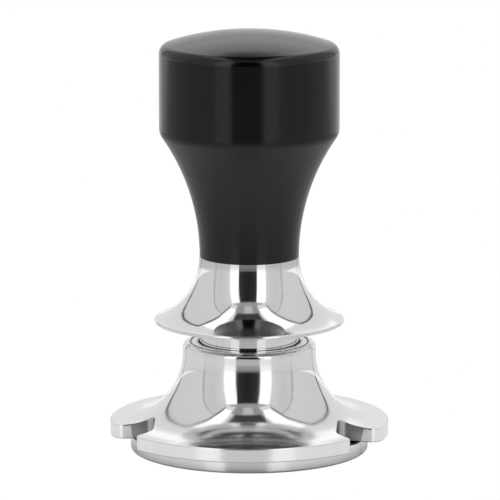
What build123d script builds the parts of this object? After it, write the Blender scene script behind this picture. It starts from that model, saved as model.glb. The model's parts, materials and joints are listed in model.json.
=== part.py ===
"""Self-levelling espresso tamper with a spring-loaded handle and a floating collar.

Units are millimetres.  +Z is up, the turning axis is Z and the underside of the
base is at z = 0.  The collar's flange has two notches; the
lobe between them faces -Y.
"""
import math
import os

from build123d import *

os.makedirs("parts", exist_ok=True)

# ---- driving dimensions ---------------------------------------------------
base_r = 29.25              # pressing disc, for 58 mm baskets
base_h = 3.7                # height of the disc
base_edge = 0.5             # rounding of its lower edge
boss_r = 7.0                # centre boss that takes the shaft
boss_top = 6.6

shaft_r = 5.0
thread_r = 4.0              # both threaded ends of the shaft
shaft_foot_z = 1.4
flats_half = 4.0            # half the distance across the two flats
flats_z = 40.5
shaft_shoulder_z = 58.8
shaft_top_z = 67.0
clip_groove_r = 4.4
clip_z = 37.5
clip_h = 1.0

grip_r = 22.1               # cylinder of the handle
grip_bottom_z = 48.15
grip_top_z = 103.9
crown_r = 67.0              # spherical crown
crown_edge = 2.3
waist_arc_r = 52.6          # hollow of the waist
waist_edge = 3.6
grip_foot_r = 12.2
cavity_r = 9.6
cavity_top_z = 92.0

skirt_arc_r = 16.6          # hollow of the finger flange
skirt_rim_r = 23.35
skirt_rim_z = 31.75
skirt_recess_r = 17.0
skirt_recess_z = 35.05

sleeve_r = 12.25
sleeve_bore_r = 9.8
sleeve_foot_z = 15.5
sleeve_shoulder_z = 38.0
neck_r = 10.5
neck_bore_r = 8.0
neck_step_z = 44.0
neck_top_z = 56.0

collar_top_z = 26.75
collar_r = 16.4
flare_arc_r = 16.75         # hollow of the bell, down to the flange
flare_z = 24.05
collar_bore_r = 14.0
collar_floor_z = 7.0
collar_foot_z = 3.85
step_r = 29.85              # inner edge of the face that rests on the basket
step_h = 0.35               # clearance over the base inside that edge
hub_r = 9.4
hub_top_z = 10.0
rest_r = 34.35              # flange that sits on the basket's rim
ring_r = 14.5
ring_z = 25.3

notch_r = 22.4              # flat inner wall of each notch, from the plane X = 0
ear_side = 9.3              # where the rear wall of a notch meets the inner wall
ear_slope = 0.12
lobe_side = 17.4            # where the side of the front lobe meets it
lobe_slope = 0.85
notch_far = 60.0
ear_corner = 3.5
lobe_corner = 2.4
notch_corner = 2.0

run_gap = 0.06              # radial clearance of the running fits
wire_main_r = 1.3
coil_main_r = 7.0
wire_light_r = 0.6
coil_light_r = 7.2


# ---- helpers --------------------------------------------------------------
def ring_part(inner_r, outer_r, low_z, high_z, edge=0.2):
    """A plain ring with small chamfers on its outer edges."""
    with BuildPart() as ring:
        with BuildSketch(Plane.XY.offset(low_z)):
            Circle(outer_r)
            Circle(inner_r, mode=Mode.SUBTRACT)
        extrude(amount=high_z - low_z)
        outer = ring.edges().filter_by(GeomType.CIRCLE).group_by(SortBy.RADIUS)[-1]
        chamfer(outer, length=edge)
    return ring


def coil_part(coil_r, wire_r, low_z, high_z, turns):
    """An open coil spring of round wire between two levels."""
    height = high_z - low_z - 2 * wire_r
    start_z = low_z + wire_r
    with BuildPart() as coil:
        with BuildLine(Plane.XY.offset(start_z)) as path:
            Helix(pitch=height / turns, height=height, radius=coil_r)
        with BuildSketch(Plane(path.line @ 0, z_dir=path.line % 0)):
            Circle(wire_r)
        sweep(path=path.line, is_frenet=True)
    return coil


def hand_over(piece, name):
    """Name a finished piece and write its file."""
    piece.part.label = name
    export_step(piece.part, "parts/" + name + ".step")


# ---- pressing base --------------------------------------------------------
with BuildPart() as tamper_base:
    with BuildSketch(Plane.XZ):
        with BuildLine():
            Polyline((0, shaft_foot_z), (0, 0), (base_r - base_edge, 0))
            RadiusArc((base_r - base_edge, 0), (base_r, base_edge), -base_edge)
            Polyline(
                (base_r, base_edge),
                (base_r, base_h - 0.15),
                (base_r - 0.15, base_h),
                (boss_r, base_h),
                (boss_r, boss_top - 0.4),
                (boss_r - 0.4, boss_top),
                (thread_r, boss_top),
                (thread_r, shaft_foot_z),
                (0, shaft_foot_z),
            )
        make_face()
    revolve(axis=Axis.Z)
hand_over(tamper_base, "tamper_base")

# ---- shaft ----------------------------------------------------------------
with BuildPart() as shaft:
    with BuildSketch(Plane.XZ):
        with BuildLine():
            Polyline(
                (0, shaft_foot_z),
                (thread_r, shaft_foot_z),
                (thread_r, boss_top),
                (shaft_r, boss_top),
                (shaft_r, clip_z),
                (clip_groove_r, clip_z),
                (clip_groove_r, clip_z + clip_h),
                (shaft_r, clip_z + clip_h),
                (shaft_r, shaft_shoulder_z),
                (thread_r, shaft_shoulder_z),
                (thread_r, shaft_top_z - 0.6),
                (thread_r - 0.6, shaft_top_z),
                (0, shaft_top_z),
                (0, shaft_foot_z),
            )
        make_face()
    revolve(axis=Axis.Z)
    flat_h = shaft_shoulder_z - flats_z
    with Locations((0, flats_half + 2, flats_z + flat_h / 2), (0, -flats_half - 2, flats_z + flat_h / 2)):
        Box(14, 4, flat_h, mode=Mode.SUBTRACT)
hand_over(shaft, "shaft")

# ---- pieces fixed on the shaft --------------------------------------------
spring_stop = ring_part(shaft_r, 9.0, clip_z - 1.5, clip_z)
hand_over(spring_stop, "spring_stop")

with BuildPart() as retaining_clip:
    with BuildSketch(Plane.XY.offset(clip_z)):
        Circle(6.6)
        Circle(clip_groove_r, mode=Mode.SUBTRACT)
        with Locations((6, 0)):
            Rectangle(6, 5, mode=Mode.SUBTRACT)
    extrude(amount=clip_h)
hand_over(retaining_clip, "retaining_clip")

bumper_washer = ring_part(shaft_r, 8.4, 57.8, shaft_shoulder_z)
hand_over(bumper_washer, "bumper_washer")

nut_top_z = shaft_shoulder_z + 5.0
with BuildPart() as retaining_nut:
    with BuildSketch(Plane.XY.offset(shaft_shoulder_z)):
        RegularPolygon(radius=6.5, side_count=6, major_radius=False)
        Circle(thread_r, mode=Mode.SUBTRACT)
    extrude(amount=5.0)
    nut_cone = 7.9
    with BuildSketch(Plane.XZ):
        with BuildLine():
            Polyline(
                (thread_r, shaft_shoulder_z),
                (nut_cone - 1.2, shaft_shoulder_z),
                (nut_cone, shaft_shoulder_z + 0.8),
                (nut_cone, nut_top_z - 0.8),
                (nut_cone - 1.2, nut_top_z),
                (thread_r, nut_top_z),
                (thread_r, shaft_shoulder_z),
            )
        make_face()
    revolve(axis=Axis.Z, mode=Mode.INTERSECT)
hand_over(retaining_nut, "retaining_nut")

cup_floor_z = nut_top_z + 1.5
with BuildPart() as spring_cup:
    with BuildSketch(Plane.XZ):
        with BuildLine():
            Polyline(
                (thread_r, nut_top_z),
                (9.1, nut_top_z),
                (9.1, cup_floor_z + 1.5),
                (8.5, cup_floor_z + 1.5),
                (8.5, cup_floor_z),
                (thread_r, cup_floor_z),
                (thread_r, nut_top_z),
            )
        make_face()
    revolve(axis=Axis.Z)
hand_over(spring_cup, "spring_cup")

# ---- handle grip ----------------------------------------------------------
waist_centre_r = grip_foot_r + waist_arc_r
waist_top_z = grip_bottom_z + math.sqrt(waist_arc_r**2 - (waist_centre_r - grip_r) ** 2)
waist_mid_z = (grip_bottom_z + waist_top_z) / 2
waist_mid_r = waist_centre_r - math.sqrt(waist_arc_r**2 - (waist_mid_z - grip_bottom_z) ** 2)
crown_corner_z = grip_top_z - crown_r + math.sqrt(crown_r**2 - grip_r**2)
crown_mid_r = grip_r / 2
crown_mid_z = grip_top_z - crown_r + math.sqrt(crown_r**2 - crown_mid_r**2)
with BuildPart() as handle_grip:
    with BuildSketch(Plane.XZ) as grip_face:
        with BuildLine():
            ThreePointArc(
                (grip_foot_r, grip_bottom_z),
                (waist_mid_r, waist_mid_z),
                (grip_r, waist_top_z),
            )
            Line((grip_r, waist_top_z), (grip_r, crown_corner_z))
            ThreePointArc(
                (grip_r, crown_corner_z),
                (crown_mid_r, crown_mid_z),
                (0, grip_top_z),
            )
            Polyline(
                (0, grip_top_z),
                (0, cavity_top_z + 2.5),
                (cavity_r - 0.2, cavity_top_z),
                (cavity_r, cavity_top_z),
                (cavity_r, neck_top_z),
                (neck_r, neck_top_z),
                (neck_r, grip_bottom_z),
                (grip_foot_r, grip_bottom_z),
            )
        make_face()
        crown_corner = grip_face.vertices().sort_by_distance((grip_r, crown_corner_z))[0]
        fillet(crown_corner, radius=crown_edge)
        waist_corner = grip_face.vertices().sort_by_distance((grip_r, waist_top_z))[0]
        fillet(waist_corner, radius=waist_edge)
    revolve(axis=Axis.Z)
hand_over(handle_grip, "handle_grip")

# ---- finger skirt ---------------------------------------------------------
skirt_centre_r = grip_foot_r + 0.05 + skirt_arc_r
skirt_end_r = skirt_rim_r - 0.5
skirt_end_z = grip_bottom_z - math.sqrt(skirt_arc_r**2 - (skirt_centre_r - skirt_end_r) ** 2)
skirt_mid_r = skirt_centre_r - skirt_arc_r * math.cos(math.radians(40))
skirt_mid_z = grip_bottom_z - skirt_arc_r * math.sin(math.radians(40))
with BuildPart() as finger_skirt:
    with BuildSketch(Plane.XZ):
        with BuildLine():
            ThreePointArc(
                (grip_foot_r + 0.05, grip_bottom_z),
                (skirt_mid_r, skirt_mid_z),
                (skirt_end_r, skirt_end_z),
            )
            ThreePointArc(
                (skirt_end_r, skirt_end_z),
                (skirt_rim_r, skirt_rim_z + 0.6),
                (skirt_end_r - 0.1, skirt_rim_z),
            )
            Polyline(
                (skirt_end_r - 0.1, skirt_rim_z),
                (21.3, skirt_rim_z),
                (20.5, skirt_rim_z + 0.75),
                (skirt_recess_r, skirt_recess_z - 0.8),
                (skirt_recess_r, skirt_recess_z),
                (sleeve_r, skirt_recess_z),
                (sleeve_r, sleeve_shoulder_z),
                (neck_r, sleeve_shoulder_z),
                (neck_r, grip_bottom_z),
                (grip_foot_r + 0.05, grip_bottom_z),
            )
        make_face()
    revolve(axis=Axis.Z)
hand_over(finger_skirt, "finger_skirt")

# ---- guide sleeve and the bush in its neck --------------------------------
with BuildPart() as guide_sleeve:
    with BuildSketch(Plane.XZ):
        with BuildLine():
            Polyline(
                (sleeve_bore_r, sleeve_foot_z),
                (sleeve_r - 0.5, sleeve_foot_z),
                (sleeve_r, sleeve_foot_z + 0.5),
                (sleeve_r, sleeve_shoulder_z),
                (neck_r, sleeve_shoulder_z),
                (neck_r, neck_top_z),
                (neck_bore_r, neck_top_z),
                (neck_bore_r, neck_step_z),
                (sleeve_bore_r, neck_step_z),
                (sleeve_bore_r, sleeve_foot_z),
            )
        make_face()
    revolve(axis=Axis.Z)
hand_over(guide_sleeve, "guide_sleeve")

bush_foot_z = 46.0
bush_flange_z = 57.5
with BuildPart() as upper_bush:
    with BuildSketch(Plane.XZ):
        with BuildLine():
            Polyline(
                (0, bush_foot_z),
                (neck_bore_r, bush_foot_z),
                (neck_bore_r, neck_top_z),
                (9.4, neck_top_z),
                (9.4, bush_flange_z),
                (0, bush_flange_z),
                (0, bush_foot_z),
            )
        make_face()
    revolve(axis=Axis.Z)
    with BuildSketch(Plane.XY.offset(bush_foot_z)):
        Circle(shaft_r + run_gap)
        Rectangle(14, 2 * (flats_half + run_gap), mode=Mode.INTERSECT)
    extrude(amount=bush_flange_z - bush_foot_z, mode=Mode.SUBTRACT)
hand_over(upper_bush, "upper_bush")

# ---- main spring and its upper seat ---------------------------------------
shim_z = cavity_top_z - 1.0
seat_z = shim_z - 1.6
preload_shim = ring_part(4.0, cavity_r - 0.2, shim_z, cavity_top_z, edge=0.15)
hand_over(preload_shim, "preload_shim")

with BuildPart() as top_spring_seat:
    with BuildSketch(Plane.XZ):
        with BuildLine():
            Polyline(
                (2.0, seat_z - 2.0),
                (5.0, seat_z - 2.0),
                (5.3, seat_z - 1.7),
                (5.3, seat_z),
                (9.2, seat_z),
                (9.2, shim_z),
                (2.0, shim_z),
                (2.0, seat_z - 2.0),
            )
        make_face()
    revolve(axis=Axis.Z)
hand_over(top_spring_seat, "top_spring_seat")

main_spring = coil_part(coil_main_r, wire_main_r, cup_floor_z, seat_z, 5.5)
hand_over(main_spring, "main_spring")

# ---- floating spring seat of the collar -----------------------------------
washer_z = hub_top_z + 1.1
thrust_washer = ring_part(shaft_r + run_gap, hub_r, washer_z, washer_z + 2.0, edge=0.3)
hand_over(thrust_washer, "thrust_washer")

return_spring = coil_part(coil_light_r, wire_light_r, washer_z + 2.0, clip_z - 1.5, 7.5)
hand_over(return_spring, "return_spring")

# ---- collar ---------------------------------------------------------------
flare_centre_r = collar_r + flare_arc_r
flare_mid_r = flare_centre_r - flare_arc_r * math.cos(math.radians(45))
flare_mid_z = flare_z - flare_arc_r * math.sin(math.radians(45))
rest_top_z = flare_z - flare_arc_r
with BuildPart() as collar:
    # bell and full round flange
    with BuildSketch(Plane.XZ):
        with BuildLine():
            Line((ring_r + 0.3, collar_top_z), (collar_r - 1.2, collar_top_z))
            RadiusArc((collar_r - 1.2, collar_top_z), (collar_r, collar_top_z - 1.2), 1.2)
            Line((collar_r, collar_top_z - 1.2), (collar_r, flare_z))
            ThreePointArc((collar_r, flare_z), (flare_mid_r, flare_mid_z), (flare_centre_r, rest_top_z))
            Polyline(
                (flare_centre_r, rest_top_z),
                (rest_r, rest_top_z),
                (rest_r, collar_foot_z),
                (step_r, collar_foot_z),
                (step_r, collar_foot_z + step_h),
                (boss_r + 0.3, collar_foot_z + step_h),
                (boss_r + 0.3, 6.9),
                (boss_r, 6.9),
                (boss_r, hub_top_z),
                (hub_r, hub_top_z),
                (hub_r, collar_floor_z),
                (collar_bore_r, collar_floor_z),
                (collar_bore_r, ring_z),
                (ring_r, ring_z),
                (ring_r, collar_top_z - 0.3),
                (ring_r + 0.3, collar_top_z),
            )
        make_face()
    revolve(axis=Axis.Z)
    # plan outline: two notches part the front lobe from the rest of the flange
    with BuildSketch(Plane.XY) as outline:
        Circle(rest_r)
        for side in (-1, 1):
            with BuildLine():
                Polyline(
                    (side * notch_r, -ear_side),
                    (side * notch_far, -ear_side - ear_slope * (notch_far - notch_r)),
                    (side * notch_far, -lobe_side - lobe_slope * (notch_far - notch_r)),
                    (side * notch_r, -lobe_side),
                    (side * notch_r, -ear_side),
                )
            make_face(mode=Mode.SUBTRACT)
        tips = [v for v in outline.vertices() if math.hypot(v.X, v.Y) > rest_r - 0.1 and v.Y < -1]
        tips.sort(key=lambda v: v.Y)
        lobe_tips, ear_tips = tips[:2], tips[2:]
        fillet(ear_tips, radius=ear_corner)
        lobe_tips = [outline.vertices().sort_by_distance(v)[0] for v in lobe_tips]
        fillet(lobe_tips, radius=lobe_corner)
        fillet([v for v in outline.vertices() if abs(abs(v.X) - notch_r) < 0.1], radius=notch_corner)
    extrude(amount=collar_top_z + 1, mode=Mode.INTERSECT)
    rim_edges = collar.edges().filter_by(
        lambda e: math.hypot(e.center().X, e.center().Y) > rest_r - 3
        and e.bounding_box().size.Z < 0.2
        and min(abs(e.center().Z - collar_foot_z), abs(e.center().Z - rest_top_z)) < 0.2
    )
    fillet(rim_edges, radius=0.3)
hand_over(collar, "collar")

# ---- pieces carried by the collar -----------------------------------------
collar_ring = ring_part(sleeve_r + 0.3, ring_r, ring_z, collar_top_z, edge=0.3)
hand_over(collar_ring, "collar_ring")

wiper_wire_r = 0.75
with BuildPart() as wiper_ring:
    with BuildSketch(Plane.XZ):
        with Locations((sleeve_r + run_gap + wiper_wire_r, ring_z - 0.05 - wiper_wire_r)):
            Circle(wiper_wire_r)
    revolve(axis=Axis.Z)
hand_over(wiper_ring, "wiper_ring")

guide_bush = ring_part(sleeve_r + run_gap, collar_bore_r, 14.5, 23.7, edge=0.2)
hand_over(guide_bush, "guide_bush")

lower_bush = ring_part(shaft_r + run_gap, boss_r, 6.9, hub_top_z + 1.0, edge=0.2)
hand_over(lower_bush, "lower_bush")
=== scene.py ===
"""Looks of the espresso tamper: polished steel, a black anodised grip and a soft white studio.

Everything is in metres and in the CAD model's frame: Z is up and the front faces -Y.
"""
import json
import math

import bmesh
import bpy
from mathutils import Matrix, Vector


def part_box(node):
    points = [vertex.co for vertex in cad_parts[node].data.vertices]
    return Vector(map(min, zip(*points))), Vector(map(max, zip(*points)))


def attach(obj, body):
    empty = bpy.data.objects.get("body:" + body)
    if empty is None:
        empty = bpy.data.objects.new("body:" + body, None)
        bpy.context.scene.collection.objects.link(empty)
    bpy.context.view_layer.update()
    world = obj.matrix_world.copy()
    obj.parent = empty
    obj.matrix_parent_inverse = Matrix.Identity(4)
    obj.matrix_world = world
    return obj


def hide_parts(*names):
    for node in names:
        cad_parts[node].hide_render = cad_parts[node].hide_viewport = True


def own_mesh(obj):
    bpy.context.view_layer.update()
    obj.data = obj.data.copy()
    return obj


MM = 0.001
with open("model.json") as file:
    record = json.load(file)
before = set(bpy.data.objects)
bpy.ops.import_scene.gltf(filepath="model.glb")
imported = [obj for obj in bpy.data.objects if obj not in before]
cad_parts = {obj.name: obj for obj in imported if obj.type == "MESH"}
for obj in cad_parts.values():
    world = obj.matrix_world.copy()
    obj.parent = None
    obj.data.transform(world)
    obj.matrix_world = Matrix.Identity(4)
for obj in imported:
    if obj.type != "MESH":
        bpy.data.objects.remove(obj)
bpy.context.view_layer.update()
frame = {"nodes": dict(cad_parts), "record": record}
nodes = frame["nodes"]
scene = bpy.context.scene
scene.view_settings.view_transform = "Standard"

# ---------------------------------------------------------------- camera
CAM_AZ = math.radians(3.9)      # to the right of straight in front
CAM_EL = math.radians(10.91)
CAM_DIST = 1.3
AIM_RIGHT = 0.00017             # of the axis
AIM_UP = 0.04957
PX_PER_M = 4070.0               # at the aim
IMAGE_PX = 500.0
SENSOR_MM = 36.0
FAR_CLIP = 50.0


def make_camera():
    data = bpy.data.cameras.new("camera")
    data.sensor_width = SENSOR_MM
    data.lens = SENSOR_MM * CAM_DIST * PX_PER_M / IMAGE_PX
    data.clip_end = FAR_CLIP
    camera = bpy.data.objects.new("camera", data)
    scene.collection.objects.link(camera)
    level = math.cos(CAM_EL)
    way = Vector((math.sin(CAM_AZ) * level, -math.cos(CAM_AZ) * level, math.sin(CAM_EL)))
    right = Vector((math.cos(CAM_AZ), math.sin(CAM_AZ), 0.0))
    target = right * AIM_RIGHT + Vector((0.0, 0.0, AIM_UP))
    camera.location = target + way * CAM_DIST
    camera.rotation_euler = (-way).to_track_quat("-Z", "Y").to_euler()
    scene.camera = camera


make_camera()

# ---------------------------------------------------------------- node helpers


class Tree:
    """Short calls for building a node tree."""

    def __init__(self, tree):
        self.tree = tree
        tree.nodes.clear()

    def add(self, kind, inputs=None, **props):
        node = self.tree.nodes.new(kind)
        for name, value in props.items():
            setattr(node, name, value)
        for name, value in (inputs or {}).items():
            if isinstance(value, bpy.types.NodeSocket):
                self.tree.links.new(value, node.inputs[name])
            else:
                node.inputs[name].default_value = value
        return node

    def math(self, operation, a, b=0.0):
        return self.add("ShaderNodeMath", {0: a, 1: b}, operation=operation).outputs[0]

    def times(self, *factors):
        product = factors[0]
        for factor in factors[1:]:
            product = self.math("MULTIPLY", product, factor)
        return product

    def step(self, value, low, high):
        """0 at low, 1 at high, smooth between; low may be above high."""
        limits = {"Value": value, "From Min": low, "From Max": high, "To Min": 0.0, "To Max": 1.0}
        return self.add("ShaderNodeMapRange", limits, interpolation_type="SMOOTHSTEP").outputs[0]

    def window(self, value, low, high, soft):
        """1 between low and high, 0 outside."""
        rise = self.step(value, low - soft, low + soft)
        fall = self.step(value, high + soft, high - soft)
        return self.times(rise, fall)

    def spread(self, value, low, high, least, most):
        """least where value is low, most where it is high, straight between."""
        limits = {"Value": value, "From Min": low, "From Max": high, "To Min": least, "To Max": most}
        return self.add("ShaderNodeMapRange", limits).outputs[0]

    def blend(self, share, below, above):
        """below where share is 0, above where it is 1; plain numbers or sockets."""
        return self.add("ShaderNodeMix", {0: share, 2: below, 3: above}, data_type="FLOAT").outputs[0]

    def tint(self, share, below, above):
        """As blend, with colours."""
        return self.add("ShaderNodeMix", {0: share, 6: below, 7: above}, data_type="RGBA").outputs[2]

    def ramp(self, value, full, stops):
        """Grey by value: stops are pairs of value and brightness, the last value being full."""
        node = self.add("ShaderNodeValToRGB", {0: self.math("DIVIDE", value, full)})
        elements = node.color_ramp.elements
        while len(elements) < len(stops):
            elements.new(0.5)
        for element, (place, grey) in zip(elements, stops):
            element.position = place / full
            element.color = (grey, grey, grey, 1.0)
        return node.outputs[0]

    def noise(self, vector, scale, detail, roughness=0.5):
        inputs = {"Vector": vector, "Scale": scale, "Detail": detail, "Roughness": roughness}
        return self.add("ShaderNodeTexNoise", inputs).outputs[0]

    def coordinates(self, name):
        return self.add("ShaderNodeTexCoord").outputs[name]

    def parts(self, vector):
        return self.add("ShaderNodeSeparateXYZ", {0: vector}).outputs

    def camera_sees(self, seen, other, kind):
        """seen where the camera looks straight at it, other in reflections; ends the tree."""
        is_camera = self.add("ShaderNodeLightPath").outputs["Is Camera Ray"]
        mix = self.add("ShaderNodeMixShader", {0: is_camera, 1: other.outputs[0], 2: seen.outputs[0]})
        self.add(kind, {0: mix.outputs[0]})


WHITE = (1.0, 1.0, 1.0, 1.0)

# ---------------------------------------------------------------- studio
# A white box tent, open in front, which only the tamper and the table see.
TENT_AZ = math.radians(1.15)

# Brightness of the walls by the angle from straight ahead, in degrees, the same on both sides.
WALLS = [
    (0.0, 0.018),               # opening
    (20.0, 0.03),
    (21.0, 1.25),               # light strip beside it
    (39.5, 1.25),
    (41.5, 0.70),               # side panel
    (62.0, 0.61),
    (77.6, 0.64),
    (78.4, 0.42),               # seam
    (80.4, 0.42),
    (81.2, 0.68),
    (138.0, 0.66),
    (140.6, 0.56),
    (141.4, 0.1),               # rear corner
    (143.6, 0.1),
    (144.6, 0.74),              # back panel
    (180.0, 0.82),
]
BACK_ANGLE = (159.0, 168.0)     # the back panel is brighter between these angles ...
BACK_HEIGHT = (0.30, 0.42)      # ... and from this height, as the Z of the direction
BACK_LIGHT = 1.12
UPPER_HEIGHT = (0.77, 0.80)     # top of the strips and of the opening
UPPER_ANGLE = (46.0, 42.0)
UPPER_LIGHT = 0.34

# Parts of the ceiling. Their places are the distance to the side, or ahead, over the height,
# each as (low, high, softness) or as the two ends of a smooth step.
CEILING_SIDE = (-0.5, 0.5, 0.008)
CEILING_AHEAD = (-0.715, 0.60, 0.008)
CEILING_HEIGHT = (0.3, 0.35)
CEILING_LIGHT = 0.76
LAMP_SIDES = ((-0.47, -0.30, 0.012), (0.26, 0.46, 0.012))
LAMP_AHEAD = (-0.53, 0.43, 0.015)
LAMP_LIGHT = 1.25
BRIDGE_SIDE = (-0.29, 0.25, 0.03)
BRIDGE_AHEAD = (0.29, 0.33)
BRIDGE_LIGHT = 0.3
BAR_SIDE = (-0.09, 0.09, 0.02)
BAR_AHEAD = (0.31, 0.35)
BAR_LIGHT = 0.52
HOLE_SIDE = (-0.24, 0.22, 0.03)
HOLE_AHEAD = (-1.18, 0.31, 0.03)
HOLE_LIGHT = 0.05
SEAM_OUTER = (-0.525, 0.525, 0.008)
SEAM_INNER = (-0.488, 0.488, 0.008)
SEAM_AHEAD = (-0.715, 0.5, 0.01)
SEAM_LIGHT = 0.12
LEAST_HEIGHT = 0.02             # keeps the distance over the height finite


def tent_light(t):
    """Brightness of the tent in each direction."""
    x, y, z = t.parts(t.coordinates("Generated"))
    sine, cosine = math.sin(TENT_AZ), math.cos(TENT_AZ)
    ahead = t.math("SUBTRACT", t.times(x, sine), t.times(y, cosine))
    side = t.math("ADD", t.times(x, cosine), t.times(y, sine))
    angle = t.math("ABSOLUTE", t.times(t.math("ARCTAN2", side, ahead), 180 / math.pi))
    height = t.math("MAXIMUM", z, LEAST_HEIGHT)
    across = t.math("DIVIDE", side, height)
    along = t.math("DIVIDE", ahead, height)

    walls = t.ramp(angle, 180.0, WALLS)
    back = t.times(t.step(angle, *BACK_ANGLE), t.step(z, *BACK_HEIGHT))
    walls = t.blend(back, walls, BACK_LIGHT)
    upper = t.times(t.step(z, *UPPER_HEIGHT), t.step(angle, *UPPER_ANGLE))
    walls = t.blend(upper, walls, UPPER_LIGHT)

    lamp = t.math("MAXIMUM", *(t.window(across, *place) for place in LAMP_SIDES))
    ceiling = t.blend(t.times(lamp, t.window(along, *LAMP_AHEAD)), CEILING_LIGHT, LAMP_LIGHT)
    bridge = t.times(t.window(across, *BRIDGE_SIDE), t.step(along, *BRIDGE_AHEAD))
    ceiling = t.blend(bridge, ceiling, BRIDGE_LIGHT)
    bar = t.times(t.window(across, *BAR_SIDE), t.step(along, *BAR_AHEAD))
    ceiling = t.blend(bar, ceiling, BAR_LIGHT)

    above = t.step(z, *CEILING_HEIGHT)
    inside = t.times(t.window(across, *CEILING_SIDE), t.window(along, *CEILING_AHEAD), above)
    tent = t.blend(inside, walls, ceiling)
    hole = t.times(t.window(across, *HOLE_SIDE), t.window(along, *HOLE_AHEAD), above)
    tent = t.blend(hole, tent, HOLE_LIGHT)
    seam = t.math("SUBTRACT", t.window(across, *SEAM_OUTER), t.window(across, *SEAM_INNER))
    seam = t.times(seam, t.window(along, *SEAM_AHEAD), above)
    return t.blend(seam, tent, SEAM_LIGHT)


def make_world():
    world = bpy.data.worlds.new("studio")
    scene.world = world
    world.use_nodes = True
    t = Tree(world.node_tree)
    studio = t.add("ShaderNodeBackground", {"Color": tent_light(t), "Strength": 1.0})
    white = t.add("ShaderNodeBackground", {"Color": WHITE, "Strength": 1.0})
    t.camera_sees(white, studio, "ShaderNodeOutputWorld")


# Painted light and shade of the table by the distance from the axis: the table glows, with a painted
# shadow near the base.
TABLE = [
    (0.0, 0.12),
    (0.030, 0.16),              # in the shade of the base
    (0.036, 0.44),
    (0.044, 0.58),
    (0.066, 0.62),
    (0.15, 0.41),
    (0.26, 0.28),
    (0.46, 0.17),
    (0.8, 0.13),
]
# Painted light: the table glows brighter behind.
TABLE_REAR = (0.27, 0.38)       # the table is brighter behind, from this far along Y
TABLE_REAR_LIGHT = 0.5
TABLE_HALF = 6.0
TABLE_CUTS = 8


def make_floor():
    """Pale glossy table that glows with painted light and shade in reflections; plain white where the
    camera sees it directly.
    """
    mesh = bpy.data.meshes.new("floor")
    bm = bmesh.new()
    bmesh.ops.create_grid(bm, x_segments=TABLE_CUTS, y_segments=TABLE_CUTS, size=TABLE_HALF)
    bm.to_mesh(mesh)
    bm.free()
    floor = bpy.data.objects.new("floor", mesh)
    scene.collection.objects.link(floor)
    material, t = new_material("floor_white")
    place = t.coordinates("Object")
    away = t.add("ShaderNodeVectorMath", {0: place}, operation="LENGTH").outputs["Value"]
    # The table's glow is painted light and shade, with a painted shadow near the base.
    painted_glow = t.ramp(away, 0.8, TABLE)
    painted_glow = t.blend(t.step(t.parts(place)[1], *TABLE_REAR), painted_glow, TABLE_REAR_LIGHT)
    table = t.add(
        "ShaderNodeBsdfPrincipled",
        {
            "Base Color": (0.04, 0.04, 0.04, 1.0),
            "Roughness": 0.1,
            "IOR": 1.5,
            "Emission Color": painted_glow,
            "Emission Strength": 1.0,
        },
    )
    glow = t.add("ShaderNodeEmission", {"Color": WHITE, "Strength": 1.0})
    t.camera_sees(glow, table, "ShaderNodeOutputMaterial")
    mesh.materials.append(material)


# ---------------------------------------------------------------- materials
LINE_DEPTH = 0.00002            # of turning lines
GRAIN_DEPTH = 0.00003           # of anodised, plastic and rubber surfaces
DULL_FROM = (0.020, 0.026)      # radius where the flange gets duller
# Painted shade in the grooves at the ring's edges: this colour between these radii.
GROOVE_SHADE_COLOR = (0.16, 0.16, 0.165, 1.0)
GROOVE_SHADE_SOFT = 0.00006
RING_GROOVE_SHADES = ((12.4 * MM, 13.0 * MM), (14.2 * MM, 14.8 * MM))


def new_material(name):
    material = bpy.data.materials.new(name)
    material.use_nodes = True
    return material, Tree(material.node_tree)


def turned_metal(name, color, roughness, more, scale, strength, dull=0.0, groove_shades=()):
    """Turned or polished metal: fine lines around the axis and cloudy roughness.

    Roughness goes from roughness to roughness + more, with dull added away from the axis.
    The metal is painted darker between each pair of radii in the last argument: painted shade in the
    grooves.
    """
    material, t = new_material(name)
    place = t.coordinates("Object")
    x, y, z = t.parts(place)
    radius = t.math("SQRT", t.math("ADD", t.times(x, x), t.times(y, y)))
    section = t.add("ShaderNodeCombineXYZ", {0: radius, 1: 0.0, 2: z}).outputs[0]
    lines = t.noise(section, scale, 3.0, 0.6)
    cloud = t.noise(place, 90.0, 4.0, 0.55)
    rough = t.spread(cloud, 0.3, 0.75, roughness, roughness + more)
    if dull:
        rough = t.math("ADD", rough, t.times(t.step(radius, *DULL_FROM), dull))
    bump = t.add("ShaderNodeBump", {"Height": lines, "Strength": strength, "Distance": LINE_DEPTH})
    tint = (*color, 1.0)
    # Painted shade: a darker colour in the grooves between the given radii.
    if groove_shades:
        groove_shade = t.math("MAXIMUM", *(t.window(radius, *pair, GROOVE_SHADE_SOFT) for pair in groove_shades))
        tint = t.tint(groove_shade, tint, GROOVE_SHADE_COLOR)
    inputs = {"Base Color": tint, "Metallic": 1.0, "Roughness": rough, "Normal": bump.outputs[0]}
    shader = t.add("ShaderNodeBsdfPrincipled", inputs)
    t.add("ShaderNodeOutputMaterial", {0: shader.outputs[0]})
    return material


def dull_solid(name, color, roughness, more, strength, scale):
    """Anodised, plastic or rubber surface with a fine grain."""
    material, t = new_material(name)
    place = t.coordinates("Object")
    grain = t.noise(place, scale, 3.0, 0.6)
    cloud = t.noise(place, 70.0, 3.0)
    rough = t.spread(cloud, 0.3, 0.7, roughness, roughness + more)
    light = tuple(min(1.0, c * 1.25) for c in color)
    tint = t.tint(grain, (*color, 1.0), (*light, 1.0))
    bump = t.add("ShaderNodeBump", {"Height": grain, "Strength": strength, "Distance": GRAIN_DEPTH})
    inputs = {
        "Base Color": tint,
        "Roughness": rough,
        "Normal": bump.outputs[0],
        "Specular IOR Level": 0.5,
    }
    shader = t.add("ShaderNodeBsdfPrincipled", inputs)
    t.add("ShaderNodeOutputMaterial", {0: shader.outputs[0]})
    return material


make_world()
make_floor()

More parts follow.
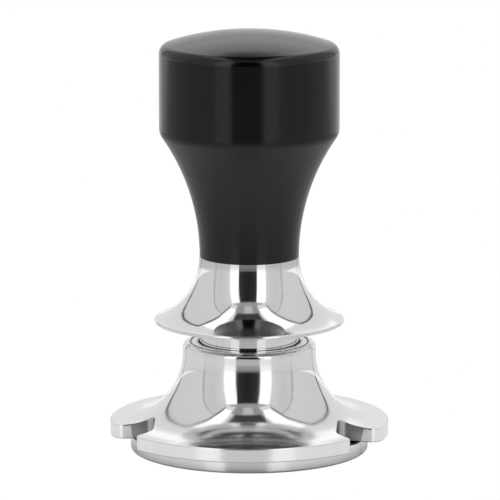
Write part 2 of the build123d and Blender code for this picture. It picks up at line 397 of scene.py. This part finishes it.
METALS = {
    "polished_steel": ((0.87, 0.87, 0.875), 0.05, 0.05, 9000.0, 0.02, 0.09),
    "ring_steel": ((0.74, 0.74, 0.745), 0.08, 0.05, 9000.0, 0.04, 0.0, RING_GROOVE_SHADES),
    "milled_steel": ((0.4, 0.4, 0.405), 0.17, 0.1, 6000.0, 0.2),
    "ground_steel": ((0.56, 0.57, 0.59), 0.22, 0.12, 5000.0, 0.3),
    "spring_steel": ((0.42, 0.43, 0.46), 0.28, 0.1, 4000.0, 0.2),
    "bronze": ((0.66, 0.45, 0.21), 0.25, 0.12, 5000.0, 0.3),
}
SOLIDS = {
    "black_anodised": ((0.0006, 0.0006, 0.0007), 0.14, 0.04, 0.04, 9000.0),
    "acetal": ((0.78, 0.77, 0.73), 0.35, 0.1, 0.05, 3000.0),
    "black_rubber": ((0.018, 0.018, 0.018), 0.6, 0.15, 0.2, 2500.0),
}
MATERIALS = {name: turned_metal(name, *values) for name, values in METALS.items()}
MATERIALS |= {name: dull_solid(name, *values) for name, values in SOLIDS.items()}

slot_of = {s["node"]: s["material_slot"] for s in frame["record"]["subparts"]}
for name, node in nodes.items():
    node.data.materials.clear()
    node.data.materials.append(MATERIALS[slot_of[name]])
    for polygon in node.data.polygons:
        polygon.material_index = 0

# The ring let into the collar's top, the chamfer around it and the walls of the two notches
# are turned or milled, and not polished.
NOTCH_SIDE = (22.0 * MM, 28.4 * MM)
NOTCH_ALONG = (-21.5 * MM, -8.0 * MM)
NOTCH_TOP = 12.0 * MM
CHAMFER_R = 14.85 * MM
CHAMFER_LOW = 26.4 * MM
UPRIGHT = 0.3                   # greatest Z of a wall's normal

nodes["collar_ring"].data.materials[0] = MATERIALS["ring_steel"]
collar = nodes["collar"]
collar.data.materials.append(MATERIALS["milled_steel"])
collar.data.materials.append(MATERIALS["ring_steel"])
for polygon in collar.data.polygons:
    x, y, z = collar.matrix_world @ polygon.center
    in_notch = NOTCH_SIDE[0] < abs(x) < NOTCH_SIDE[1] and NOTCH_ALONG[0] < y < NOTCH_ALONG[1]
    if abs(polygon.normal.z) < UPRIGHT and in_notch and z < NOTCH_TOP:
        polygon.material_index = 1
    if math.hypot(x, y) < CHAMFER_R and z > CHAMFER_LOW:
        polygon.material_index = 2

# ---------------------------------------------------------------- springs
# The two coils are pieces that ride on their bodies.
COIL_STEPS = 40                 # per turn
WIRE_SIDES = 14


def make_coil(name, coil_r, wire_r, low_z, high_z, turns):
    """Round wire wound between two levels, closed at both ends by flat caps."""
    rise = (high_z - low_z - 2.0 * wire_r) / turns
    slant = math.atan2(rise, 2.0 * math.pi * coil_r)
    bm = bmesh.new()
    rings = []
    for step in range(int(turns * COIL_STEPS) + 1):
        angle = 2.0 * math.pi * step / COIL_STEPS
        out = Vector((math.cos(angle), math.sin(angle), 0.0))
        turned = Vector((math.sin(angle), -math.cos(angle), 0.0))
        up = turned * math.sin(slant) + Vector((0.0, 0.0, math.cos(slant)))
        centre = out * coil_r + Vector((0.0, 0.0, low_z + wire_r + rise * step / COIL_STEPS))
        ring = []
        for side in range(WIRE_SIDES):
            around = 2.0 * math.pi * side / WIRE_SIDES
            ring.append(bm.verts.new(centre + (out * math.cos(around) + up * math.sin(around)) * wire_r))
        rings.append(ring)
    for lower, upper in zip(rings, rings[1:]):
        for a in range(WIRE_SIDES):
            b = (a + 1) % WIRE_SIDES
            face = bm.faces.new((lower[a], lower[b], upper[b], upper[a]))
            face.smooth = True
    bm.faces.new(list(reversed(rings[0])))
    bm.faces.new(rings[-1])
    bmesh.ops.recalc_face_normals(bm, faces=bm.faces)
    mesh = bpy.data.meshes.new(name)
    bm.to_mesh(mesh)
    bm.free()
    coil = bpy.data.objects.new(name, mesh)
    scene.collection.objects.link(coil)
    mesh.materials.append(MATERIALS["spring_steel"])
    return coil


def replace_spring(node, body, coil_r, wire_r, turns):
    """Show a coil in place of a spring node: its foot or its top stays put in the body."""
    low, high = (corner[2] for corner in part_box(node))
    coil = make_coil(f"{node}_coil", coil_r, wire_r, low, high, turns)
    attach(coil, body)
    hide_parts(node)
    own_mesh(coil)


replace_spring("main_spring", "handle", 7.0 * MM, 1.3 * MM, 5.5)
replace_spring("return_spring", "spring_seat", 7.2 * MM, 0.6 * MM, 7.5)
